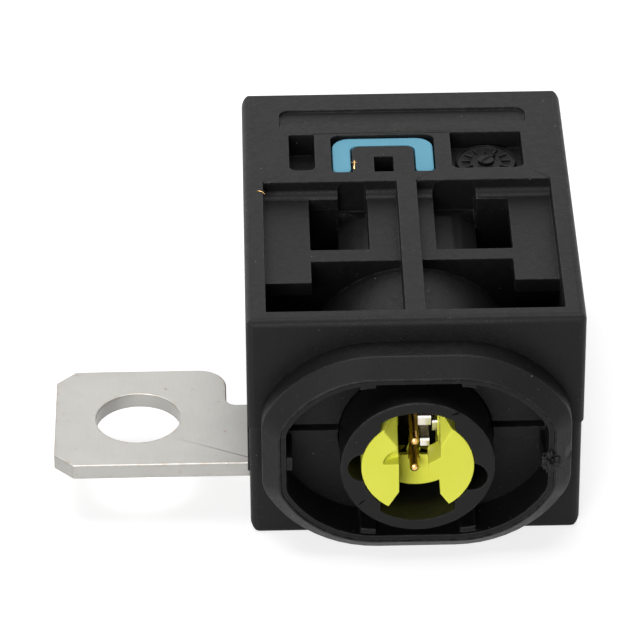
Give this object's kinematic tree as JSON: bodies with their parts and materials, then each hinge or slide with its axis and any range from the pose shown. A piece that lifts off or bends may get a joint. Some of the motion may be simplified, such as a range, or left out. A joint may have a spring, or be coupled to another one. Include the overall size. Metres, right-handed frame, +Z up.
{
  "type": "pyrotechnic fuse",
  "caption": "Pyrotechnic fuse: black moulded block with a bevelled connector, an igniter on two pins, a barrel with a punch, and a tinned copper bar with two bolt lugs.",
  "frame": {"origin": "middle of the housing's flat base", "axes": "+X right, +Y from the connector face to the rear, +Z up, away from the base"},
  "size_m": [0.0569, 0.0731, 0.0276],
  "materials": {
    "black_plastic": "moulded, fine grain",
    "grey_plastic": "moulded",
    "lime_plastic": "moulded, satin",
    "blue_plastic": "moulded, satin",
    "tinned_copper": "tin plated, rolled",
    "gold_plate": "plated",
    "spring_steel": "bright",
    "steel": "turned",
    "seal_rubber": "moulded"
  },
  "bodies": {
    "root": {"housing_top": "black_plastic", "housing_base": "black_plastic", "connector_shroud": "black_plastic", "igniter_pocket": "grey_plastic", "shorting_insert": "lime_plastic", "shorting_spring": "spring_steel", "upper_contact_pin": "gold_plate", "lower_contact_pin": "gold_plate", "igniter_header": "steel", "igniter_cup": "steel", "igniter_seal": "seal_rubber", "barrel": "steel", "piston": "grey_plastic", "piston_seal": "seal_rubber", "busbar": "tinned_copper", "anvil": "grey_plastic", "locking_clip": "blue_plastic"}
  },
  "joints": []
}
